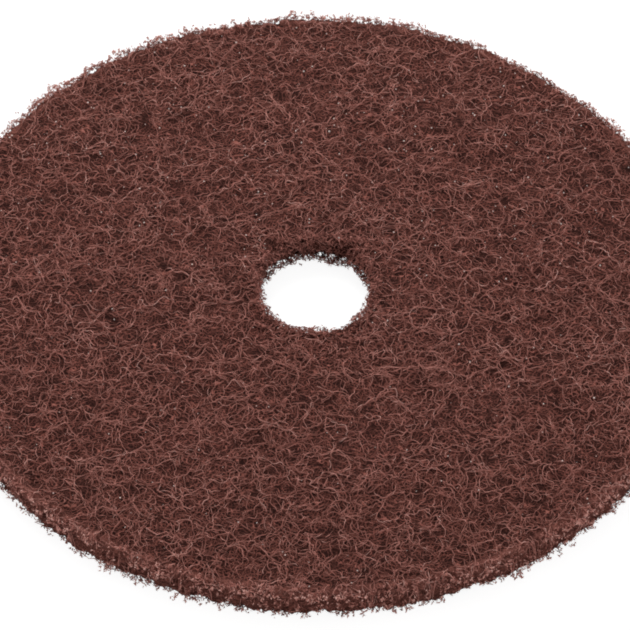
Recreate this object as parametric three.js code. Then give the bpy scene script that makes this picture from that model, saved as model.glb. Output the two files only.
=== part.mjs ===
// Fleece abrasive wheel: a round pad of crimped, resin-bonded fibre, air-laid into a lofty web and
// die-cut to a disc, with a centre hole for the machine's pad lock. It is one piece, used on either side.
// Millimetres, +Z up. The origin is the middle of the underside, on the surface that the pad lies on.
import * as THREE from 'three';
import { ImprovedNoise } from 'three/addons/math/ImprovedNoise.js';

// The cut
const padDiameter = 508;      // a 20 inch floor-machine pad
const throatDiameter = 70;    // the centre hole half way through, where the web springs back furthest
const mouthRadius = 6.3;      // and its rounded mouths, which bring it to 3 1/4 inches at the faces
const padThickness = 25.4;    // a 1 inch web
const arrisRadius = 3;        // the die squashes the web, so the rim's edges spring back rounded
const wallDraw = 1.2;         // and the middle of the rim's wall stays drawn in by this much

// The faces: level lands where the fibres lie close, and open pits where they part
const pitDepth = 2.6;         // how far a pit sinks below the lands
const pitGrain = 22;          // across the face, from one pit to the next
const patchGrain = 70;        // from one loose patch of the web to the next
const patchShare = 0.35;      // how much the loose patches add to the single pits
const landLevel = -0.1;       // noise below this is land
const floorLevel = 0.4;       // noise above this is the floor of a pit

// The cut walls: tufts of fibre ends at the die's line, with gaps between the plies of the web
const frayDepth = 3;          // how far a gap reaches in
const tuftGrain = 18;         // along the cut, from one tuft to the next
const plyGrain = 8;           // up the cut, from one ply to the next
const tuftLevel = -0.12;      // noise below this is the end of a tuft
const gapLevel = 0.42;        // noise above this is the bottom of a gap

// How closely the surface is followed
const rimSides = 165;         // points round the rim, and as widely spaced everywhere else
const fewestSides = 32;       // though never fewer points than this round a ring
const wallRows = 5;
const arrisRows = 2;
const throatRows = 3;
const mouthRows = 3;

const throatRadius = throatDiameter / 2;
const padRadius = padDiameter / 2;
const pointSpacing = (Math.PI * padDiameter) / rimSides;

// The web lies askew of the axes, so that no row of pits runs along one of them.
const webLay = new THREE.Euler(0.62, -0.47, 0.31);

// The ring's section, gone round anticlockwise as radius against height: along the underside,
// up the outer wall, back along the upper face and down the wall of the hole.
function sectionRuns() {
  const low = arrisRadius;
  const high = padThickness - arrisRadius;
  const outer = padRadius - arrisRadius;
  const throatLow = mouthRadius;
  const throatHigh = padThickness - mouthRadius;
  const inner = throatRadius + mouthRadius;
  const faceRows = Math.round((outer - inner) / pointSpacing);
  const straight = (r1, z1, r2, z2) =>
    new THREE.LineCurve(new THREE.Vector2(r1, z1), new THREE.Vector2(r2, z2));
  const corner = (r, z, radius, quarter) =>
    new THREE.EllipseCurve(
      r, z, radius, radius, (quarter * Math.PI) / 2, ((quarter + 1) * Math.PI) / 2
    );
  return [
    { curve: straight(inner, 0, outer, 0), rows: faceRows },
    { curve: corner(outer, low, arrisRadius, -1), rows: arrisRows },
    { curve: straight(padRadius, low, padRadius, high), rows: wallRows, drawn: wallDraw },
    { curve: corner(outer, high, arrisRadius, 0), rows: arrisRows },
    { curve: straight(outer, padThickness, inner, padThickness), rows: faceRows },
    { curve: corner(inner, throatHigh, mouthRadius, 1), rows: mouthRows },
    { curve: straight(throatRadius, throatHigh, throatRadius, throatLow), rows: throatRows },
    { curve: corner(inner, throatLow, mouthRadius, 2), rows: mouthRows },
  ];
}

// Stations along the section: the place, the way out of the web there, and how far it is drawn in.
function sectionStations() {
  const stations = [];
  for (const { curve, rows, drawn = 0 } of sectionRuns()) {
    for (let row = 0; row < rows; row += 1) {
      const share = row / rows;
      const along = curve.getTangentAt(share);
      stations.push({
        place: curve.getPointAt(share),
        outward: new THREE.Vector2(along.y, -along.x),
        draw: drawn * Math.sin(Math.PI * share),
      });
    }
  }
  return stations;
}

const noise = new ImprovedNoise();

// Noise at a point of the web, with grains of one width across the pad and another up through it.
function webNoise(point, across, upThrough) {
  const at = new THREE.Vector3(point.x / across, point.y / across, point.z / upThrough);
  at.applyEuler(webLay);
  return noise.noise(at.x, at.y, at.z);
}

// How far the surface sinks below the plain cut disc at a point that faces up, down or outwards.
// upright is 0 on a face and 1 on a cut wall.
function sunk(point, upright) {
  const openness = webNoise(point, pitGrain, pitGrain) + patchShare * webNoise(point, patchGrain, patchGrain);
  const pit = pitDepth * THREE.MathUtils.smoothstep(openness, landLevel, floorLevel);
  const parting = webNoise(point, tuftGrain, plyGrain);
  const gap = frayDepth * THREE.MathUtils.smoothstep(parting, tuftLevel, gapLevel);
  return THREE.MathUtils.lerp(pit, gap, upright);
}

// One ring of points round the axis for a station, as many as its radius needs. Every other ring
// is turned by half a step, so that its points lie between those of the rings beside it.
function ringOfPoints({ place, outward, draw }, stationNumber) {
  const sides = Math.max(fewestSides, Math.round((2 * Math.PI * place.x) / pointSpacing));
  const turn = (stationNumber % 2) / 2;
  const ring = [];
  for (let side = 0; side < sides; side += 1) {
    const angle = ((side + turn) / sides) * 2 * Math.PI;
    const point = new THREE.Vector3(place.x * Math.cos(angle), place.x * Math.sin(angle), place.y);
    const depth = draw + sunk(point, Math.abs(outward.x));
    const radius = place.x - outward.x * depth;
    point.set(radius * Math.cos(angle), radius * Math.sin(angle), place.y - outward.y * depth);
    ring.push({ angle, point });
  }
  return ring;
}

// Triangles between two neighbouring rings, which may have different numbers of points: each
// triangle steps on along the ring whose next point comes first.
function stitch(first, second, firstStart, secondStart) {
  const triangles = [];
  const angleOf = (ring, n) => ring[n % ring.length].angle + 2 * Math.PI * Math.floor(n / ring.length);
  let a = 0;
  let b = 0;
  while (a < first.length || b < second.length) {
    const here = firstStart + (a % first.length);
    const across = secondStart + (b % second.length);
    const firstComesNext = angleOf(first, a + 1) <= angleOf(second, b + 1);
    if (b === second.length || (a < first.length && firstComesNext)) {
      a += 1;
      triangles.push(here, firstStart + (a % first.length), across);
    } else {
      b += 1;
      triangles.push(here, secondStart + (b % second.length), across);
    }
  }
  return triangles;
}

// The whole surface: each ring joined to the next, and the last to the first.
function fleeceGeometry() {
  const rings = sectionStations().map(ringOfPoints);
  const starts = [];
  const places = [];
  for (const ring of rings) {
    starts.push(places.length / 3);
    for (const { point } of ring) places.push(...point.toArray());
  }
  const triangles = rings.flatMap((ring, n) => {
    const next = (n + 1) % rings.length;
    return stitch(ring, rings[next], starts[n], starts[next]);
  });
  const geometry = new THREE.BufferGeometry();
  geometry.setAttribute('position', new THREE.Float32BufferAttribute(places, 3));
  geometry.setIndex(triangles);
  geometry.computeVertexNormals();
  return geometry;
}

const fleece = new THREE.MeshStandardMaterial({ color: 0x6e443e, roughness: 0.9, metalness: 0 });

const disc = new THREE.Mesh(fleeceGeometry(), fleece);
disc.name = 'fleece_disc';

const fleeceWheel = new THREE.Group();
fleeceWheel.add(disc);

export default fleeceWheel;
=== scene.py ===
import math

import bpy
import numpy as np
from mathutils import Matrix, Vector, noise
from mathutils.bvhtree import BVHTree


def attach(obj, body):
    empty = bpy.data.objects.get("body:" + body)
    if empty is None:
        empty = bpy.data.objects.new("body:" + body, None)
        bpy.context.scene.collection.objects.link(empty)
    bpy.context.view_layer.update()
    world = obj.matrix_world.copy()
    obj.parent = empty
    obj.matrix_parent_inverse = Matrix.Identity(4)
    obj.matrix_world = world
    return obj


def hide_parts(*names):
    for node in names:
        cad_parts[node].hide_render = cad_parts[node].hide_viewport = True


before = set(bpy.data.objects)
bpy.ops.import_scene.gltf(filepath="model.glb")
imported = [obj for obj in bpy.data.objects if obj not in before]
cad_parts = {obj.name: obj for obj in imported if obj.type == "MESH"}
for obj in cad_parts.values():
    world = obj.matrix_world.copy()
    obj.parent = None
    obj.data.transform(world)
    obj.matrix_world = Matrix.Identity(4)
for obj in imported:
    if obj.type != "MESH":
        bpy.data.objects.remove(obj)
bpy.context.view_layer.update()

fullTurn = 2 * math.pi
tiny = 1e-12                    # keeps a length of nothing from being divided by


# sRGB, as a colour is read off a screen, to the linear colour that a shader wants
def screenColour(red, green, blue):
    channels = [c / 255 for c in (red, green, blue)]
    return (*[c / 12.92 if c <= 0.04045 else ((c + 0.055) / 1.055) ** 2.4 for c in channels], 1)


# The cut disc

# It lies flat on its underside at zero, with its axis on Z. Everything is in metres.
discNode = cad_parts["fleece_disc"]


# The points of a mesh as rows of three numbers
def meshPoints(mesh):
    flat = np.zeros(len(mesh.vertices) * 3)
    mesh.vertices.foreach_get("co", flat)
    return flat.reshape(-1, 3)


discPoints = meshPoints(discNode.data)
discRadii = np.hypot(discPoints[:, 0], discPoints[:, 1])
padRadius = float(discRadii.max())
holeRadius = float(discRadii.min())
padTop = float(discPoints[:, 2].max())

discTree = BVHTree.FromPolygons(
    [Vector(p) for p in discPoints], [tuple(f.vertices) for f in discNode.data.polygons]
)

reliefGrid = {
    "cell": 0.002,          # between the heights read off a face
    "past": 6,              # cells past the cut that go on from the heights at its edge
    "wallSteps": 640,       # readings round a wall
    "wallRows": 9,          # and up it
    "rimEvened": 0.5,       # the share of a gap in the rim's wall that loose fibre fills
    "standOff": 0.05,       # how far outside the disc a reading starts
}


# The height of the upper face or the underside over a square grid
def readFace(fromZ, direction, plain):
    cells = int(math.ceil(2 * padRadius / reliefGrid["cell"])) + 2 * reliefGrid["past"]
    first = -reliefGrid["cell"] * (cells - 1) / 2
    heights = np.full((cells, cells), np.nan)
    for i in range(cells):
        for j in range(cells):
            place = Vector((first + i * reliefGrid["cell"], first + j * reliefGrid["cell"], fromZ))
            hit = discTree.ray_cast(place, direction)[0]
            if hit is not None:
                heights[i, j] = hit.z
    for _ in range(reliefGrid["past"]):
        around = np.stack([np.roll(heights, shift, axis) for shift in (-1, 1) for axis in (0, 1)])
        known = np.isfinite(around)
        total = np.where(known, around, 0).sum(0)
        fill = np.isnan(heights) & known.any(0)
        heights[fill] = total[fill] / known.sum(0)[fill]
    heights[np.isnan(heights)] = plain
    return heights, first


# How far out the cut wall stands, by angle and height
def readWall(startRadius, outwards, plain):
    radii = np.full((reliefGrid["wallSteps"], reliefGrid["wallRows"]), plain)
    for i in range(reliefGrid["wallSteps"]):
        angle = fullTurn * i / reliefGrid["wallSteps"]
        away = Vector((math.cos(angle), math.sin(angle), 0))
        for j in range(reliefGrid["wallRows"]):
            height = padTop * (j + 0.5) / reliefGrid["wallRows"]
            start = away * startRadius + Vector((0, 0, height))
            hit = discTree.ray_cast(start, away if outwards else -away)[0]
            if hit is not None:
                radii[i, j] = math.hypot(hit.x, hit.y)
    return radii


# The value between the four nearest readings of a grid
def betweenCells(grid, i, j):
    i = np.clip(i, 0, grid.shape[0] - 1.001)
    j = np.clip(j, 0, grid.shape[1] - 1.001)
    i0, j0 = i.astype(int), j.astype(int)
    fi, fj = i - i0, j - j0
    near = grid[i0, j0] * (1 - fi) + grid[i0 + 1, j0] * fi
    far = grid[i0, j0 + 1] * (1 - fi) + grid[i0 + 1, j0 + 1] * fi
    return near * (1 - fj) + far * fj


standOff = reliefGrid["standOff"]
topHeights, gridStart = readFace(padTop + standOff, Vector((0, 0, -1)), padTop)
underHeights, gridStart = readFace(-standOff, Vector((0, 0, 1)), 0.0)
rimRadii = readWall(padRadius + standOff, False, padRadius)
rimRadii += reliefGrid["rimEvened"] * (padRadius - rimRadii)
holeRadii = readWall(0.0, True, holeRadius)
print("read the pits and the frayed walls of the cut disc")


# How high a face is over any point of the pad
def faceHeight(grid, x, y):
    cell = reliefGrid["cell"]
    return betweenCells(grid, (x - gridStart) / cell, (y - gridStart) / cell)


# How far out a cut wall stands at a point's angle and height
def wallRadius(grid, x, y, z):
    turns = np.mod(np.arctan2(y, x) / fullTurn, 1.0)
    closed = np.vstack([grid, grid[:1]])
    return betweenCells(closed, turns * len(grid), z / padTop * grid.shape[1] - 0.5)


# Smoothly from 0 at the low value to 1 at the high one
def soften(values, low, high):
    share = np.clip((values - low) / (high - low), 0, 1)
    return share * share * (3 - 2 * share)


# From 0 at one distance short of an edge to 1 at another
def nearEdge(values, edge, band):
    return soften(values, edge - band[0], edge - band[1])


# Crimped fibres

byFloor = (0.008, 0.001)        # the wall is cut shorter from this height down to this one
depthOfPaintedShade = 0.006             # how deep in the web a fibre is when its painted shade is at its darkest

voids = {
    "seed": 41,
    "shortest": 0.0048,     # from one open place in the web to the next
    "longest": 0.0180,
    "waves": 28,
    "push": 0.60,           # how far the fibres are parted at an open place, as a share of its size
    "sink": 0.0012,         # how much deeper they lie across it
    "shade": 0.21,          # and how much darker they are painted, as shade in the open place
    "opens": (0.2, 1.8),    # from the first parting of the fibres to a place that is wide open
}

strand = {
    "sides": 3,
    "tip": 0.6,             # how thick its ends are, as a share of its thickness
    "leastEnd": 0.05,       # the shortest that a cut leaves its last step, as a share of a step
    "kink": 0.5,            # how far its small kinks turn it, in radians
    "kinkShare": 0.43,      # and how long they are, as a share of its crimps
}


# How open the web is over the pad, about -1 to 1, and which way is out of an open place
def openness(x, y):
    draw = np.random.default_rng(voids["seed"])
    value, slopeX, slopeY = np.zeros_like(x), np.zeros_like(x), np.zeros_like(x)
    for _ in range(voids["waves"]):
        length = draw.uniform(voids["shortest"], voids["longest"])
        way, shift = draw.uniform(0, fullTurn, 2)
        phase = fullTurn * (x * math.cos(way) + y * math.sin(way)) / length + shift
        reach = voids["push"] * length / fullTurn
        value += np.sin(phase)
        slopeX += reach * math.cos(way) * np.cos(phase)
        slopeY += reach * math.sin(way) * np.cos(phase)
    scale = 1 / math.sqrt(voids["waves"])
    return value * scale, slopeX * scale, slopeY * scale


# Each fibre wanders about its own run in crimps, and some curl right round
def crimpedFibres(draw, startX, startY, run, web):
    count = len(startX)
    steps = web["steps"]
    along = np.arange(steps + 1) - steps / 2
    reach = along[None, :] * web["step"]
    swing = draw.uniform(*web["crimpSwing"], (count, 1))
    crimp = draw.uniform(*web["crimpLength"], (count, 1))
    crimpShift = draw.uniform(0, fullTurn, (count, 1))
    curl = draw.normal(0, web["curl"], (count, 1))
    heading = run[:, None] + swing * np.sin(fullTurn * reach / crimp + crimpShift) + curl * reach
    kinks = np.sin(fullTurn * reach / (strand["kinkShare"] * crimp) + 2 * crimpShift)
    heading = heading + strand["kink"] * kinks
    stepX = np.cos(heading) * web["step"]
    stepY = np.sin(heading) * web["step"]
    x = np.cumsum(stepX, 1)
    y = np.cumsum(stepY, 1)
    middle = steps // 2
    x = x - x[:, middle:middle + 1] + startX[:, None]
    y = y - y[:, middle:middle + 1] + startY[:, None]
    _, slopeX, slopeY = openness(x, y)
    x, y = x - slopeX, y - slopeY
    weave = draw.uniform(0, fullTurn, (count, 1))
    weaveLength = draw.uniform(*web["crimpLength"], (count, 1))
    weaving = np.sin(fullTurn * reach / weaveLength + weave)
    return x, y, weaving


# The run of points round the middle of each fibre that lies inside the cut, ending on the cut itself
def cutFibres(x, y, z, draw, web):
    count, points = x.shape
    fray = draw.uniform(*web["fray"], (count, 1))
    radius = np.hypot(x, y)
    proud = np.maximum(radius - wallRadius(rimRadii, x, y, z), wallRadius(holeRadii, x, y, z) - radius)
    over = proud - fray + web["underIn"] * nearEdge(-z, 0, byFloor)
    outside = over > 0
    index = np.arange(points)[None, :]
    middle = points // 2
    first = np.where(outside & (index < middle), index, -1).max(1)
    last = np.where(outside & (index > middle), index, points).min(1)
    rows = np.arange(count)
    for end, inner, has in ((first, first + 1, first >= 0), (last, last - 1, last < points)):
        r = rows[has]
        e, i = end[has], inner[has]
        share = np.clip(over[r, i] / (over[r, i] - over[r, e] - tiny), strand["leastEnd"], 1)
        for values in (x, y, z):
            values[r, e] = values[r, i] + (values[r, e] - values[r, i]) * share
    first = np.maximum(first, 0)
    last = np.minimum(last, points - 1)
    keep = (index >= first[:, None]) & (index <= last[:, None])
    keep &= ~outside[:, middle][:, None]
    keep &= (keep.sum(1) >= 2)[:, None]
    return x, y, z, keep


# A mesh of triangles with every point's shade and depth in its map
def mappedMesh(name, places, faces, shade, depth):
    mesh = bpy.data.meshes.new(name)
    mesh.vertices.add(len(places))
    mesh.vertices.foreach_set("co", places.ravel())
    corners = faces.ravel()
    mesh.loops.add(len(corners))
    mesh.loops.foreach_set("vertex_index", corners.astype(np.int32))
    mesh.polygons.add(len(faces))
    mesh.polygons.foreach_set("loop_start", np.arange(0, len(corners), 3, dtype=np.int32))
    mesh.update(calc_edges=True)
    # Neighbouring corners are set a little apart on the map, so that every face has an area there
    spread = 0.004
    right = shade[corners] + spread * (corners % 3)
    up = depth[corners] + spread * ((corners // 3 + (corners % 3 == 1)) % 2)
    onMap = np.clip(np.stack([right, up], 1), 0.0, 1.0)
    layer = mesh.uv_layers.new(name="OFBake")
    layer.data.foreach_set("uv", onMap.astype(np.float32).ravel())
    mesh.polygons.foreach_set("use_smooth", np.ones(len(faces), bool))
    mesh.validate()
    piece = bpy.data.objects.new(name, mesh)
    bpy.context.scene.collection.objects.link(piece)
    print(name, len(faces), "triangles")
    return piece


# Closed three-sided strands along the kept runs
def fibreMesh(name, x, y, z, keep, thickness, shade, depth, draw):
    sides = strand["sides"]
    path = np.stack([x, y, z], 2)
    none = np.zeros((len(x), 1), bool)
    keptBefore = np.concatenate([none, keep[:, :-1]], 1)
    keptAfter = np.concatenate([keep[:, 1:], none], 1)
    before = np.where(keptBefore[..., None], np.roll(path, 1, 1), path)
    after = np.where(keptAfter[..., None], np.roll(path, -1, 1), path)
    tangent = after - before
    tangent /= np.linalg.norm(tangent, axis=2, keepdims=True) + tiny
    across = np.cross(tangent, np.array([0.0, 0.0, 1.0]))
    across /= np.linalg.norm(across, axis=2, keepdims=True) + tiny
    over = np.cross(tangent, across)
    turns = draw.uniform(0, fullTurn, (len(x), 1, 1)) + fullTurn / sides * np.arange(sides)
    away = np.cos(turns)[..., None] * across[:, :, None] + np.sin(turns)[..., None] * over[:, :, None]
    tip = keep & ~(keptBefore & keptAfter)
    radius = np.where(tip, strand["tip"], 1.0) * thickness / 2
    rings = path[:, :, None] + away * radius[:, :, None, None]

    number = np.cumsum(keep.ravel()).reshape(keep.shape) - 1
    here = number[:, :-1][keep[:, :-1] & keep[:, 1:]] * sides
    starts = number[keep & ~keptBefore] * sides
    ends = number[keep & ~keptAfter] * sides
    faces = [np.stack([starts, starts + 2, starts + 1], 1), np.stack([ends, ends + 1, ends + 2], 1)]
    for side in range(sides):
        other = (side + 1) % sides
        faces.append(np.stack([here + side, here + other, here + sides + other], 1))
        faces.append(np.stack([here + side, here + sides + other, here + sides + side], 1))
    faces = np.concatenate(faces)
    places = rings[keep].reshape(-1, 3)
    return mappedMesh(name, places, faces, np.repeat(shade[keep], sides), np.repeat(depth[keep], sides))


# Seeds spread over the pad between two radii
def scatter(draw, count, inner, outer):
    radius = np.sqrt(draw.uniform(inner ** 2, outer ** 2, count))
    angle = draw.uniform(0, fullTurn, count)
    return radius * np.cos(angle), radius * np.sin(angle)


# One ply of the web over a face. A fibre's depth is measured from the face, which the disc's pits lower.
def facePly(name, web, grid, inwards):
    draw = np.random.default_rng(web["seed"])
    startX, startY = scatter(draw, web["fibres"], holeRadius, padRadius)
    run = draw.uniform(0, fullTurn, len(startX))
    x, y, weaving = crimpedFibres(draw, startX, startY, run, web)
    parted = soften(openness(x, y)[0], *voids["opens"])
    lie = draw.uniform(*web["depth"], (len(startX), 1)) + web["weave"] * weaving + voids["sink"] * parted
    lie = np.maximum(lie, web["thickness"][1] / 2)
    z = faceHeight(grid, x, y) + inwards * lie
    x, y, z, keep = cutFibres(x, y, z, draw, web)
    thickness = draw.uniform(*web["thickness"], (len(startX), 1)) * np.ones_like(x)
    thickness *= 1 + web["lumps"] * draw.normal(0, 1, x.shape).clip(*web["lumpRange"])
    shade = web["shade"] + web["shadeSpread"] * draw.normal(0, 1, (len(startX), 1))
    # Across an open place the fibres are painted darker, as shade
    shade = shade + web["speckle"] * draw.normal(0, 1, x.shape) - voids["shade"] * parted
    # Fibres by the rim are painted paler, as a highlight where light catches the edge
    shade = shade + web["paintedCrestLight"] * nearEdge(np.hypot(x, y), padRadius, web["crestBand"])
    # The deeper a fibre lies under the face, the darker it is painted, as shade
    depth = (lie - web["thickness"][1] / 2) / depthOfPaintedShade
    return fibreMesh(name, x, y, z, keep, thickness, shade, depth, draw)


# Fibres cut short round a wall, lying in flat plies all the way up it, most of them across the cut
def wallPly(name, web, wallAt, outwards):
    draw = np.random.default_rng(web["seed"])
    count = web["fibres"]
    angle = draw.uniform(0, fullTurn, count)
    # More of them lie near the upper and lower edges of the wall
    share = draw.uniform(-1, 1, count)
    height = padTop / 2 + np.sign(share) * np.abs(share) ** web["toEdges"] * (padTop / 2 - web["margin"])
    into = draw.uniform(0, 1, count) ** web["toCut"] * web["band"] + web["margin"]
    nominal = padRadius if outwards else holeRadius
    radius = wallRadius(wallAt, nominal * np.cos(angle), nominal * np.sin(angle), height)
    radius = radius - into if outwards else radius + into
    startX, startY = radius * np.cos(angle), radius * np.sin(angle)
    run = angle + draw.normal(0, web["runSpread"], count)
    x, y, weaving = crimpedFibres(draw, startX, startY, run, web)
    z = height[:, None] + web["weave"] * weaving
    low = faceHeight(underHeights, x, y) + web["margin"]
    high = faceHeight(topHeights, x, y) - web["margin"]
    z = np.clip(z, low, high)
    x, y, z, keep = cutFibres(x, y, z, draw, web)
    thickness = draw.uniform(*web["thickness"], (count, 1)) * np.ones_like(x)
    thickness *= 1 + web["lumps"] * draw.normal(0, 1, x.shape).clip(*web["lumpRange"])
    shade = web["shade"] + web["shadeSpread"] * draw.normal(0, 1, (count, 1))
    shade = shade + web["speckle"] * draw.normal(0, 1, x.shape)
    # Fibres by the upper edge of the wall are painted paler, as a highlight
    shade = shade + web["paintedCrestLight"] * nearEdge(z, padTop, web["crestBand"])
    radius = np.hypot(x, y)
    wall = wallRadius(wallAt, x, y, z)
    proud = radius - wall if outwards else wall - radius
    # Ends standing out past the cut are painted paler, as light coming through them
    shade = shade + web["paintedTipLight"] * soften(proud, *web["tipBand"])
    # Fibres further in from the cut or lower under the upper face are painted darker, as shade
    buriedPaintedShade = np.minimum(-proud, high - z)
    return fibreMesh(name, x, y, z, keep, thickness, shade, buriedPaintedShade / depthOfPaintedShade, draw)


topPly = {
    "seed": 11,
    "fibres": 2620,
    "steps": 12,
    "step": 0.0022,
    "crimpSwing": (0.3, 1.0),
    "crimpLength": (0.009, 0.022),
    "curl": 75.0,           # how far it turns from its run, in radians a metre
    "depth": (0.0004, 0.0014),
    "weave": 0.0008,
    "thickness": (0.00034, 0.00048),
    "lumps": 0.20,          # how unevenly thick it is, as a share of its thickness
    "lumpRange": (-1.5, 2.5),
    "fray": (-0.0012, 0.0020),    # how far past the cut it ends
    "underIn": 0.0016,      # how much shorter it is cut by the floor
    "shade": 0.63,
    "shadeSpread": 0.10,
    "speckle": 0.11,        # how unevenly the grit coats it along its length
    "paintedCrestLight": 0.16,          # painted highlight: how much paler the fibres by the rim are painted, as light catching the edge
    "crestBand": (0.012, 0.003),
}
middlePly = topPly | {
    "seed": 12,
    "fibres": 2180,
    "step": 0.0028,
    "depth": (0.0012, 0.0028),
    "weave": 0.0009,
    "thickness": (0.00038, 0.00056),
    # painted a little darker than the ply above, as shade deeper in the web
    "shade": 0.60,
}
lowPly = topPly | {
    "seed": 13,
    "fibres": 2000,
    "step": 0.0033,
    "depth": (0.0022, 0.0038),
    "weave": 0.0009,
    "thickness": (0.00046, 0.00064),
    # painted a little darker than the ply above, as shade deeper in the web
    "shade": 0.57,
}
underPly = lowPly | {
    "seed": 14,
    "fibres": 760,
    "depth": (0.0004, 0.0022),
    "paintedCrestLight": 0.0,
}
rimPly = topPly | {
    "seed": 15,
    "fibres": 4300,
    "steps": 4,
    "step": 0.0012,
    "curl": 260.0,
    "runSpread": 0.9,
    "weave": 0.0008,
    "margin": 0.0004,       # its middle stays this far inside the wall and both faces
    "toEdges": 0.7,         # under 1 they crowd towards the wall's upper and lower edges
    "toCut": 1.4,           # over 1 they crowd towards the cut
    "band": 0.0048,         # as far in as they start
    "thickness": (0.00044, 0.00066),
    "lumps": 0.25,
    "lumpRange": (-1.5, 2.0),
    "fray": (-0.0012, 0.0014),
    # painted darker than the faces, as shade on the wall
    "shade": 0.50,
    "paintedTipLight": 0.20,       # painted light: how much paler the cut ends are painted, as though lit through from behind
    "tipBand": (-0.0020, 0.0015),
    "paintedCrestLight": 0.25,          # and the painted highlight on the fibres by the upper edge
    "crestBand": (0.006, 0.001),
}
holePly = rimPly | {
    "seed": 16,
    "fibres": 1500,
    "steps": 5,
    "band": 0.0060,
    "fray": (-0.0020, 0.0020),
    "paintedTipLight": 0.05,
    "paintedCrestLight": 0.05,
}

plies = [
    facePly("web_top_ply", topPly, topHeights, -1),
    facePly("web_middle_ply", middlePly, topHeights, -1),
    facePly("web_low_ply", lowPly, topHeights, -1),
    facePly("web_underside_ply", underPly, underHeights, 1),
    wallPly("web_rim_ply", rimPly, rimRadii, True),
    wallPly("web_hole_ply", holePly, holeRadii, False),
]


# Crumbly tufts along the cuts: stubs of fibre, coated with grit and bent at their middles

stubs = {
    "seed": 31,
    "tufts": 6200,
    "holeTufts": 1450,
    "each": (2, 6),         # stubs in a tuft
    "tuftSpread": 0.0007,
    "length": (0.0011, 0.0030),
    "thickness": (0.00065, 0.00120),
    "bend": 0.35,           # of a stub's length
    "proud": 0.0046,        # as far out past the cut as a tuft may stand
    "band": 0.0040,         # and as far in
    "holeIn": 0.0022,       # those in the hole stand in by this much
    "underIn": 0.0028,      # the tufts by the floor stand in by this much
    "toCut": 0.5,           # under 1 they crowd inwards
    "edgeBand": 0.0050,     # most tufts are this near the upper or the lower edge
    "edgeShare": 0.65,
    "upperShare": 0.6,      # of those, this many are by the upper one
    "toEdge": 1.3,          # over 1 they crowd towards it
    "fromTop": 0.0004,
    "fromFloor": 0.0008,
    "inPlies": 0.001,       # the other tufts stay this far from both faces
    "lowest": 0.0001,
    "shade": 0.36,
    "shadeSpread": 0.15,
    # painted light on the ends that stand out past the cut
    "paintedTipLight": 0.40,
    "tipBand": (-0.0030, 0.0015),
    # painted highlight on tufts by the upper edge
    "paintedCrestLight": 0.12,
    "crestBand": (0.005, 0.001),
}


# Places for tufts along one cut, and how far out of the cut each stands
def tuftPlaces(draw, count, wallAt, outwards, setIn):
    angle = draw.uniform(0, fullTurn, count)
    atEdge = draw.uniform(0, 1, count) < stubs["edgeShare"]
    off = stubs["edgeBand"] * draw.uniform(0, 1, count) ** stubs["toEdge"]
    upper = draw.uniform(0, 1, count) < stubs["upperShare"]
    edges = np.where(upper, padTop - stubs["fromTop"] - off, stubs["fromFloor"] + off)
    z = np.where(atEdge, edges, draw.uniform(stubs["inPlies"], padTop - stubs["inPlies"], count))
    nominal = padRadius if outwards else holeRadius
    wall = wallRadius(wallAt, nominal * np.cos(angle), nominal * np.sin(angle), z)
    inwards = (stubs["proud"] + stubs["band"]) * draw.uniform(0, 1, count) ** stubs["toCut"]
    proud = stubs["proud"] - inwards - setIn - stubs["underIn"] * nearEdge(-z, 0, byFloor)
    radius = wall + proud if outwards else wall - proud
    return np.stack([radius * np.cos(angle), radius * np.sin(angle), z], 1), proud


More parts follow.
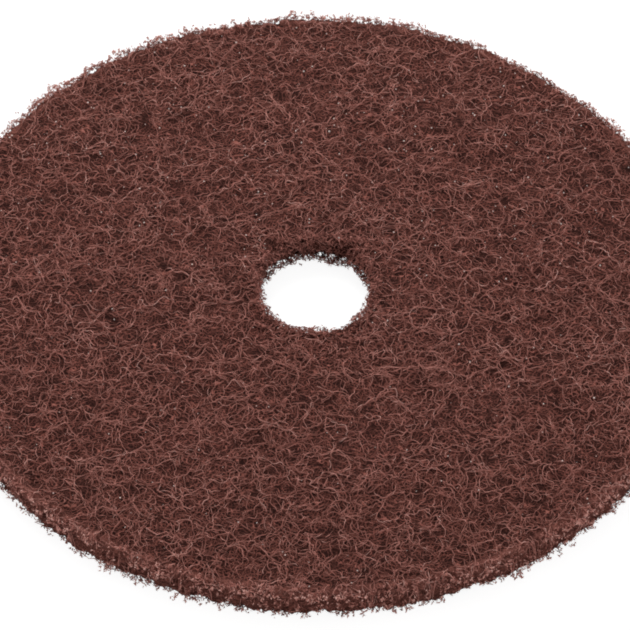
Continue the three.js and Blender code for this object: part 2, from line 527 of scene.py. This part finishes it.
# All the stubs in one mesh. Each is a closed spindle: a tip, a ring of three points and the other tip.
def makeStubs():
    draw = np.random.default_rng(stubs["seed"])
    rimTufts, rimProud = tuftPlaces(draw, stubs["tufts"], rimRadii, True, 0.0)
    holeTufts, holeProud = tuftPlaces(draw, stubs["holeTufts"], holeRadii, False, stubs["holeIn"])
    tufts = np.concatenate([rimTufts, holeTufts])
    proud = np.concatenate([rimProud, holeProud])
    # Only the tufts round the rim are given painted light, not those in the hole
    takesPaintedLight = np.repeat([1.0, 0.0], [len(rimTufts), len(holeTufts)])
    each = draw.integers(*stubs["each"], len(tufts), endpoint=True)
    centres = np.repeat(tufts, each, 0) + draw.normal(0, stubs["tuftSpread"], (each.sum(), 3))
    proud, takesPaintedLight = np.repeat(proud, each), np.repeat(takesPaintedLight, each)
    count = len(centres)
    length = draw.uniform(*stubs["length"], (count, 1))
    half = draw.uniform(*stubs["thickness"], (count, 1, 1)) / 2
    way = draw.normal(0, 1, (count, 3))
    way /= np.linalg.norm(way, axis=1, keepdims=True)
    across = np.cross(way, draw.normal(0, 1, (count, 3)))
    across /= np.linalg.norm(across, axis=1, keepdims=True)
    over = np.cross(way, across)
    turns = fullTurn / strand["sides"] * np.arange(strand["sides"])[None, :, None]
    ring = half * (np.cos(turns) * across[:, None] + np.sin(turns) * over[:, None])
    bent = centres + across * length * draw.uniform(0, stubs["bend"], (count, 1))
    high = faceHeight(topHeights, centres[:, 0], centres[:, 1])
    lift = np.clip(centres[:, 2], stubs["fromFloor"], high) - centres[:, 2]
    tip = (way * length / 2)[:, None]
    places = np.concatenate([centres[:, None] - tip, bent[:, None] + ring, centres[:, None] + tip], 1)
    places[..., 2] = np.maximum(places[..., 2] + lift[:, None], stubs["lowest"])
    spindle = np.array([(0, 2, 1), (0, 3, 2), (0, 1, 3), (4, 1, 2), (4, 2, 3), (4, 3, 1)])
    each = places.shape[1]
    faces = (spindle[None] + each * np.arange(count)[:, None, None]).reshape(-1, 3)
    shade = stubs["shade"] + stubs["shadeSpread"] * draw.normal(0, 1, count)
    # Proud rim tufts are painted paler, as light coming through them
    shade = shade + takesPaintedLight * stubs["paintedTipLight"] * soften(proud, *stubs["tipBand"])
    # Tufts by the rim's upper edge get a painted highlight
    shade = shade + takesPaintedLight * stubs["paintedCrestLight"] * nearEdge(centres[:, 2], padTop, stubs["crestBand"])
    # Stubs further in or lower under the face are painted darker by their depth, as shade
    depth = np.minimum(np.clip(-proud, 0, 1), np.clip(high - centres[:, 2], 0, 1)) / depthOfPaintedShade
    places = places.reshape(-1, 3)
    return mappedMesh("cut_stubs", places, faces, np.repeat(shade, each), np.repeat(depth, each))


cutStubs = makeStubs()


# The close web inside

core = {
    "underFace": 0.0024,    # how far it lies inside both faces, under the loose plies
    "behindRim": 0.0032,    # how far it stands in from the rim, behind the loose fringe
    "underRim": 0.0012,     # and this much less by the floor, where the fringe is short
    "roundOff": 0.0004,     # and this much more at the rim's upper edge
    "roundPower": 4,        # how close to that edge this stays
    "behindHole": 0.0046,   # the same round the hole
    "underHole": 0.0055,    # and this much more at its lower mouth, where light gets in
    "turnIn": 0.014,        # as far from a wall as it starts to be drawn in like this
    "evened": 0.5,          # how much of the gaps in the cut walls it closes
    "gapDepth": 0.006,      # as deep as those gaps are
    "wallShare": 0.72,      # and over this much of the walls' height, about the middle
    "wallBelt": 0.010,      # as far in as its mesh is fine
    "crumbs": ((0.0070, 0.0018), (0.0042, 0.0022), (0.0024, 0.0016)),    # each with its grain and height
    "crumbReach": (0.45, 0.8),    # how far along that the crumbs start, and are at their full height
    "roughness": 0.0020,
    "roughGrain": 0.006,
    "roughLevel": 0.6,
    "mergeWithin": 0.00001,
}

coreMesh = discNode.data.copy()
coreMesh.materials.clear()
fleeceCore = bpy.data.objects.new("fleece_core", coreMesh)
bpy.context.scene.collection.objects.link(fleeceCore)
bpy.ops.object.select_all(action="DESELECT")
fleeceCore.select_set(True)
bpy.context.view_layer.objects.active = fleeceCore
bpy.ops.object.mode_set(mode="EDIT")
bpy.ops.mesh.select_all(action="SELECT")
bpy.ops.mesh.remove_doubles(threshold=core["mergeWithin"])
bpy.ops.mesh.subdivide(number_cuts=1)
bpy.ops.mesh.select_all(action="DESELECT")
bpy.ops.object.mode_set(mode="OBJECT")
for face in coreMesh.polygons:
    away = math.hypot(face.center.x, face.center.y)
    face.select = away > padRadius - core["wallBelt"] or away < holeRadius + core["wallBelt"]
bpy.ops.object.mode_set(mode="EDIT")
bpy.ops.mesh.subdivide(number_cuts=1)
bpy.ops.mesh.quads_convert_to_tris()
bpy.ops.object.mode_set(mode="OBJECT")

points = meshPoints(coreMesh)
radii = np.hypot(points[:, 0], points[:, 1])
middleHeight = padTop / 2
offMiddle = (points[:, 2] - middleHeight) / middleHeight
edge = np.clip(offMiddle, 0, 1) ** core["roundPower"]
rimReach = np.clip((radii - padRadius + core["turnIn"]) / core["turnIn"], 0, 1)
holeReach = np.clip((holeRadius + core["turnIn"] - radii) / core["turnIn"], 0, 1)
low = np.clip(-offMiddle, 0, 1)
inward = rimReach * (core["behindRim"] + core["roundOff"] * edge - core["underRim"] * low)
outward = holeReach * (core["behindHole"] + core["underHole"] * low)
flattened = radii - inward + outward
onWall = np.abs(offMiddle) < core["wallShare"]
closed = core["evened"] * np.clip(padRadius - radii, 0, core["gapDepth"])
flattened += np.where(onWall & (radii > padRadius - core["gapDepth"]), closed, 0)
closed = core["evened"] * np.clip(radii - holeRadius, 0, core["gapDepth"])
flattened -= np.where(onWall & (radii < holeRadius + core["gapDepth"]), closed, 0)
onRim, onHole = soften(rimReach, *core["crumbReach"]), soften(holeReach, *core["crumbReach"])
for grain, height in core["crumbs"]:
    lumps = np.array([noise.noise(Vector(p) / grain) for p in points])
    flattened += height * lumps * onRim - height * lumps * onHole
points[:, :2] *= (flattened / radii)[:, None]
points[:, 2] = middleHeight + offMiddle * (middleHeight - core["underFace"])
coreMesh.vertices.foreach_set("co", points.ravel())
coreMesh.update()

roughTexture = bpy.data.textures.new("close web", "CLOUDS")
roughTexture.noise_scale = core["roughGrain"]
roughTexture.noise_depth = 1
displace = fleeceCore.modifiers.new("rough", "DISPLACE")
displace.texture = roughTexture
displace.texture_coords = "LOCAL"
displace.strength = core["roughness"]
displace.mid_level = core["roughLevel"]
bpy.ops.object.modifier_apply(modifier="rough")
bpy.ops.object.shade_smooth()
print("fleece_core", len(coreMesh.polygons), "faces")


# Grit: beads of resin and mineral held on the fibres

grit = {
    "seed": 21,
    "beads": 800,
    "radius": (0.00020, 0.00066),
    "fromCuts": 0.003,
    "squash": (0.7, 1.2),
    "sunk": (0.0002, 0.0016),
    "farGlintShare": 0.75,       # more of them lie on the far half, as painted glints where the light catches
    "patchGrain": 90,       # across which they go from dull to bright, as painted glints
    "roughness": 0.25,
}


def makeGrit():
    draw = np.random.default_rng(grit["seed"])
    bpy.ops.object.select_all(action="DESELECT")
    bpy.ops.mesh.primitive_ico_sphere_add(subdivisions=1, radius=1)
    bead = bpy.context.object
    shape = meshPoints(bead.data)
    faces = np.array([list(f.vertices) for f in bead.data.polygons])
    bpy.data.objects.remove(bead)
    x, y = scatter(draw, grit["beads"], holeRadius + grit["fromCuts"], padRadius - grit["fromCuts"])
    y = np.where(draw.uniform(0, 1, len(y)) < grit["farGlintShare"], np.abs(y), -np.abs(y))
    least, most = grit["radius"]
    size = least + (most - least) * draw.uniform(0, 1, len(x)) ** 2
    z = faceHeight(topHeights, x, y) - draw.uniform(*grit["sunk"], len(x))
    centres = np.stack([x, y, z], 1)
    squash = draw.uniform(*grit["squash"], (len(x), 1, 3))
    vertices = centres[:, None, :] + shape[None] * squash * size[:, None, None]
    allFaces = faces[None] + (np.arange(len(x)) * len(shape))[:, None, None]
    mesh = bpy.data.meshes.new("grit_beads")
    mesh.from_pydata(vertices.reshape(-1, 3), [], allFaces.reshape(-1, 3))
    mesh.polygons.foreach_set("use_smooth", np.ones(len(mesh.polygons), bool))
    piece = bpy.data.objects.new("grit_beads", mesh)
    bpy.context.scene.collection.objects.link(piece)
    print("grit_beads", len(mesh.polygons), "triangles")
    return piece


gritBeads = makeGrit()


# Materials

finish = {
    # The dark between and under the fibres is painted shade
    "paintedVoidShade": screenColour(42, 18, 14),
    # painted light on the close web at the rim's upper edge
    "paintedRimLight": screenColour(160, 101, 90),
    "deepFibre": screenColour(95, 52, 45),
    "fibre": screenColour(184, 118, 106),
    "brightFibre": screenColour(218, 152, 139),
    "paleFibre": screenColour(246, 194, 182),
    # nearly white: the grit's own pale colour with a painted glint
    "bead": screenColour(255, 240, 232),
}


def newMaterial(name):
    material = bpy.data.materials.new(name)
    material.use_nodes = True
    shader = material.node_tree.nodes["Principled BSDF"]
    return material, material.node_tree.nodes, material.node_tree.links, shader


# A ramp of colours, each at its place from 0 to 1
def rampNode(nodes, stops):
    ramp = nodes.new("ShaderNodeValToRGB")
    while len(ramp.color_ramp.elements) < len(stops):
        ramp.color_ramp.elements.new(0.5)
    for element, (place, colour) in zip(ramp.color_ramp.elements, stops):
        element.position = place
        element.color = colour
    return ramp


def mathNode(nodes, links, operation, first, second):
    node = nodes.new("ShaderNodeMath")
    node.operation = operation
    for socket, value in zip(node.inputs, (first, second)):
        if isinstance(value, (int, float)):
            socket.default_value = value
        else:
            links.new(value, socket)
    return node.outputs["Value"]


# A value from one range carried to another
def rangeNode(nodes, links, value, fromRange, toRange=(0.0, 1.0), kind="LINEAR"):
    node = nodes.new("ShaderNodeMapRange")
    node.interpolation_type = kind
    node.inputs["From Min"].default_value, node.inputs["From Max"].default_value = fromRange
    node.inputs["To Min"].default_value, node.inputs["To Max"].default_value = toRange
    links.new(value, node.inputs["Value"])
    return node.outputs["Result"]


def noiseNode(nodes, links, place, scale, detail=2.0):
    node = nodes.new("ShaderNodeTexNoise")
    node.inputs["Scale"].default_value = scale
    node.inputs["Detail"].default_value = detail
    links.new(place, node.inputs["Vector"])
    return node


def vectorNode(nodes, links, operation, place, other=None):
    node = nodes.new("ShaderNodeVectorMath")
    node.operation = operation
    links.new(place, node.inputs[0])
    if other is not None:
        node.inputs[1].default_value = other
    return node


# A mix of two colours. The share comes from another node, and so may the first colour.
def blend(nodes, links, share, first, second):
    mix = nodes.new("ShaderNodeMix")
    mix.data_type = "RGBA"
    mix.blend_type = "MIX"
    links.new(share, mix.inputs["Factor"])
    if isinstance(first, tuple):
        mix.inputs["A"].default_value = first
    else:
        links.new(first, mix.inputs["A"])
    mix.inputs["B"].default_value = second
    return mix.outputs["Result"]


fibreLook = {
    "shades": ((0.05, "deepFibre"), (0.50, "fibre"), (0.80, "brightFibre"), (1.00, "paleFibre")),
    "buriedPaintedShade": 0.75,         # how far painted shade darkens the deepest fibre
    "roughness": 0.6,
    "specular": 0.2,
}


# Across the fibre's map is its shade, and up it how deep it lies, from which it is painted darker as
# shade
def fibreMaterial():
    material, nodes, links, shader = newMaterial("resin-bonded fibre")
    fibreMap = nodes.new("ShaderNodeUVMap")
    fibreMap.uv_map = "OFBake"
    parts = nodes.new("ShaderNodeSeparateXYZ")
    links.new(fibreMap.outputs["UV"], parts.inputs["Vector"])
    shades = rampNode(nodes, [(place, finish[name]) for place, name in fibreLook["shades"]])
    links.new(parts.outputs["X"], shades.inputs["Fac"])
    depthShadeShare = rangeNode(nodes, links, parts.outputs["Y"], (0.0, 1.0), (0.0, fibreLook["buriedPaintedShade"]))
    colour = blend(nodes, links, depthShadeShare, shades.outputs["Color"], finish["paintedVoidShade"])
    links.new(colour, shader.inputs["Base Color"])
    shader.inputs["Roughness"].default_value = fibreLook["roughness"]
    shader.inputs["Specular IOR Level"].default_value = fibreLook["specular"]
    return material


# Strands of the close web, from the deepest up: wandering lines, one lay of them over another, each
# deeper lay painted darker as shade
closeLays = [
    {"turn": 0.35, "lines": 520, "grain": 210, "wander": 1.3, "width": 0.15, "colour": (88, 47, 41)},
    {"turn": 2.10, "lines": 470, "grain": 170, "wander": 1.5, "width": 0.14, "colour": (106, 61, 53)},
    {"turn": 1.25, "lines": 430, "grain": 190, "wander": 1.5, "width": 0.13, "colour": (123, 73, 64)},
    {"turn": 2.80, "lines": 380, "grain": 150, "wander": 1.6, "width": 0.12, "colour": (141, 85, 75)},
    {"turn": 0.85, "lines": 340, "grain": 170, "wander": 1.7, "width": 0.10, "colour": (158, 97, 86)},
    {"turn": 1.75, "lines": 300, "grain": 140, "wander": 1.8, "width": 0.09, "colour": (174, 108, 96)},
]
closeWeb = {
    "ridge": 0.3,           # how much of a line's width is its full colour
    "rises": 0.5,           # how much the lines lean as they go up the web
    "up": (0.40, 0.52),     # in its noise, where a line comes up from under the others
    "under": 0.7,           # how much of each lay stays to be felt under the next
    "bump": 0.0004,
    "gapGrain": 95,         # places in it painted darker, as shade in its openings
    "gaps": (0.48, 0.66),
    "gapPaintedShade": 0.55,
    "roughness": 0.85,
    "specular": 0.1,
}
# Painted light along the rim's upper edge of the close web
paintedRimLight = {
    "inward": (0.010, 0.005),    # from the rim
    "down": (0.009, 0.005),      # from the upper face
    "leastDown": 0.45,      # as much of it stays on the lower part of the wall
    "grain": 260,           # of its patches
    "patches": (0.38, 0.62),
    "strength": (0.25, 0.85),
}


# White on the lines of one lay, which dive under and come up again
def layLines(nodes, links, place, lay):
    turn, lines = lay["turn"], lay["lines"]
    moved = vectorNode(nodes, links, "ADD", place, (turn, -turn, 2 * turn))
    wander = noiseNode(nodes, links, moved.outputs["Vector"], lay["grain"], detail=1.0)
    run = (lines * math.cos(turn), lines * math.sin(turn), closeWeb["rises"] * lines)
    across = vectorNode(nodes, links, "DOT_PRODUCT", place, run)
    swung = mathNode(nodes, links, "MULTIPLY", wander.outputs["Fac"], 2 * lay["wander"])
    phase = mathNode(nodes, links, "ADD", across.outputs["Value"], swung)
    offLine = mathNode(nodes, links, "PINGPONG", phase, 0.5)
    edges = (lay["width"], lay["width"] * closeWeb["ridge"])
    line = rangeNode(nodes, links, offLine, edges, kind="SMOOTHSTEP")
    parts = nodes.new("ShaderNodeSeparateColor")
    links.new(wander.outputs["Color"], parts.inputs["Color"])
    up = rangeNode(nodes, links, parts.outputs["Green"], closeWeb["up"], kind="SMOOTHSTEP")
    return mathNode(nodes, links, "MULTIPLY", line, up)


# How near the rim's upper edge a point is, where the web is painted paler as light on the edge
def paintedRimLightShare(nodes, links, place):
    flat = vectorNode(nodes, links, "MULTIPLY", place, (1, 1, 0))
    away = vectorNode(nodes, links, "LENGTH", flat.outputs["Vector"])
    height = nodes.new("ShaderNodeSeparateXYZ")
    links.new(place, height.inputs["Vector"])
    inward = [padRadius - reach for reach in paintedRimLight["inward"]]
    down = [padTop - reach for reach in paintedRimLight["down"]]
    byRim = rangeNode(nodes, links, away.outputs["Value"], inward)
    byTop = rangeNode(nodes, links, height.outputs["Z"], down, (paintedRimLight["leastDown"], 1.0))
    both = mathNode(nodes, links, "MULTIPLY", byRim, byTop)
    patches = noiseNode(nodes, links, place, paintedRimLight["grain"])
    patch = rangeNode(nodes, links, patches.outputs["Fac"], paintedRimLight["patches"], paintedRimLight["strength"])
    return mathNode(nodes, links, "MULTIPLY", both, patch)


def coreMaterial():
    material, nodes, links, shader = newMaterial("close web")
    place = nodes.new("ShaderNodeTexCoord").outputs["Object"]
    # The close web starts from the painted shade of its voids
    colour, height = finish["paintedVoidShade"], 0.0
    for lay in closeLays:
        lines = layLines(nodes, links, place, lay)
        colour = blend(nodes, links, lines, colour, screenColour(*lay["colour"]))
        below = mathNode(nodes, links, "MULTIPLY", height, closeWeb["under"])
        height = mathNode(nodes, links, "ADD", below, lines)
    gaps = noiseNode(nodes, links, place, closeWeb["gapGrain"]).outputs["Fac"]
    # Painted shade in its open places
    gapShadeShare = rangeNode(nodes, links, gaps, closeWeb["gaps"], (0.0, closeWeb["gapPaintedShade"]), "SMOOTHSTEP")
    colour = blend(nodes, links, gapShadeShare, colour, finish["paintedVoidShade"])
    # Painted light on the close web by the rim's upper edge
    colour = blend(nodes, links, paintedRimLightShare(nodes, links, place), colour, finish["paintedRimLight"])
    links.new(colour, shader.inputs["Base Color"])
    bump = nodes.new("ShaderNodeBump")
    bump.inputs["Distance"].default_value = closeWeb["bump"]
    links.new(height, bump.inputs["Height"])
    links.new(bump.outputs["Normal"], shader.inputs["Normal"])
    shader.inputs["Roughness"].default_value = closeWeb["roughness"]
    shader.inputs["Specular IOR Level"].default_value = closeWeb["specular"]
    return material


def beadMaterial():
    material, nodes, links, shader = newMaterial("grit")
    place = nodes.new("ShaderNodeTexCoord").outputs["Object"]
    patches = noiseNode(nodes, links, place, grit["patchGrain"])
    # Patches of the grit are painted brighter, as glints
    shades = rampNode(nodes, [(0.35, finish["brightFibre"]), (0.5, finish["bead"])])
    links.new(patches.outputs["Fac"], shades.inputs["Fac"])
    links.new(shades.outputs["Color"], shader.inputs["Base Color"])
    shader.inputs["Roughness"].default_value = grit["roughness"]
    return material


fibre = fibreMaterial()
for ply in [*plies, cutStubs]:
    ply.data.materials.append(fibre)
fleeceCore.data.materials.append(coreMaterial())
gritBeads.data.materials.append(beadMaterial())

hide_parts("fleece_disc")
for piece in [fleeceCore, *plies, cutStubs, gritBeads]:
    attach(piece, "root")
print("materials are on")


# Floor, light and camera

studio = {
    "floorSize": 12.0,
    "floorDrop": 0.0003,
    "floorWhite": 0.75,     # as it lights the pad
    "paperWhite": 0.3,      # as it is seen, with the glow
    "paperGlow": 0.88,
    "worldLight": 0.50,
    "softboxPower": 23.0,
    "softboxSize": 1.8,
    "softboxPlace": (-0.45, 1.35, 1.55),
    "fillPower": 4.0,
    "fillSize": 2.4,
    "fillPlace": (0.9, -1.6, 1.7),
}


def grey(level):
    return level, level, level, 1


# Matt card for the light that falls on it, and evenly lit paper where the camera sees it
def floorMaterial():
    material, nodes, links, shader = newMaterial("white floor")
    shader.inputs["Base Color"].default_value = grey(studio["floorWhite"])
    shader.inputs["Roughness"].default_value = 0.9
    shader.inputs["Specular IOR Level"].default_value = 0.0
    rays = nodes.new("ShaderNodeLightPath").outputs
    seen = mathNode(nodes, links, "MAXIMUM", rays["Is Camera Ray"], rays["Is Glossy Ray"])
    seen = mathNode(nodes, links, "MAXIMUM", seen, rays["Is Transmission Ray"])
    paper = nodes.new("ShaderNodeBsdfDiffuse")
    paper.inputs["Color"].default_value = grey(studio["paperWhite"])
    glow = nodes.new("ShaderNodeEmission")
    glow.inputs["Strength"].default_value = studio["paperGlow"]
    lit = nodes.new("ShaderNodeAddShader")
    links.new(paper.outputs["BSDF"], lit.inputs[0])
    links.new(glow.outputs["Emission"], lit.inputs[1])
    pick = nodes.new("ShaderNodeMixShader")
    links.new(seen, pick.inputs["Fac"])
    links.new(shader.outputs["BSDF"], pick.inputs[1])
    links.new(lit.outputs["Shader"], pick.inputs[2])
    links.new(pick.outputs["Shader"], nodes["Material Output"].inputs["Surface"])
    return material


bpy.ops.object.select_all(action="DESELECT")
bpy.ops.mesh.primitive_plane_add(size=studio["floorSize"], location=(0, 0, -studio["floorDrop"]))
floor = bpy.context.object
floor.name = "floor"
floor.data.materials.append(floorMaterial())

world = bpy.data.worlds.new("studio")
world.use_nodes = True
bpy.context.scene.world = world
background = world.node_tree.nodes["Background"]
background.inputs["Color"].default_value = (1, 1, 1, 1)
background.inputs["Strength"].default_value = studio["worldLight"]


def softbox(name, power, size, place):
    bpy.ops.object.light_add(type="AREA", location=place)
    lamp = bpy.context.object
    lamp.name = name
    lamp.data.shape = "DISK"
    lamp.data.size = size
    lamp.data.energy = power
    towards = Vector((0, 0, padTop)) - Vector(place)
    lamp.rotation_euler = towards.to_track_quat("-Z", "Y").to_euler()
    return lamp


softbox("softbox", studio["softboxPower"], studio["softboxSize"], studio["softboxPlace"])
softbox("fill", studio["fillPower"], studio["fillSize"], studio["fillPlace"])

photoView = {
    "side": 630,            # pixels across and down
    "focalPixels": 3400.0,
    "distance": 8.8,        # from the middle of the upper face, in pad radii
    "elevation": 48.6,      # degrees above the floor
    "middleX": 314.7,       # where the middle of the upper face is in the photo
    "middleY": 281.8,
    "roll": 1.31,           # degrees
    "softness": 1.95,       # pixels that each point is spread over
    "sensor": 36.0,         # millimetres wide
    "farthest": 50.0,       # metres
}


def placeCamera():
    data = bpy.data.cameras.new("camera")
    camera = bpy.data.objects.new("camera", data)
    bpy.context.scene.collection.objects.link(camera)
    data.sensor_width = photoView["sensor"]
    data.lens = photoView["focalPixels"] / photoView["side"] * photoView["sensor"]
    data.clip_end = photoView["farthest"]
    elevation = math.radians(photoView["elevation"])
    back = Vector((0, -math.cos(elevation), math.sin(elevation)))
    place = Vector((0, 0, padTop)) + back * photoView["distance"] * padRadius
    half = photoView["side"] / 2
    rollBack = Matrix.Rotation(math.radians(photoView["roll"]), 4, "Z")
    # The middle of the face lies off the axis of the lens by these angles
    sideways = math.atan((photoView["middleX"] - half) / photoView["focalPixels"])
    upwards = math.atan((half - photoView["middleY"]) / photoView["focalPixels"])
    aimed = back.to_track_quat("Z", "Y").to_matrix().to_4x4()
    turned = aimed @ Matrix.Rotation(-upwards, 4, "X") @ Matrix.Rotation(sideways, 4, "Y") @ rollBack
    camera.matrix_world = Matrix.Translation(place) @ turned
    bpy.context.scene.camera = camera


placeCamera()
bpy.context.scene.view_settings.view_transform = "Standard"
bpy.context.scene.cycles.filter_width = photoView["softness"]

print("done")
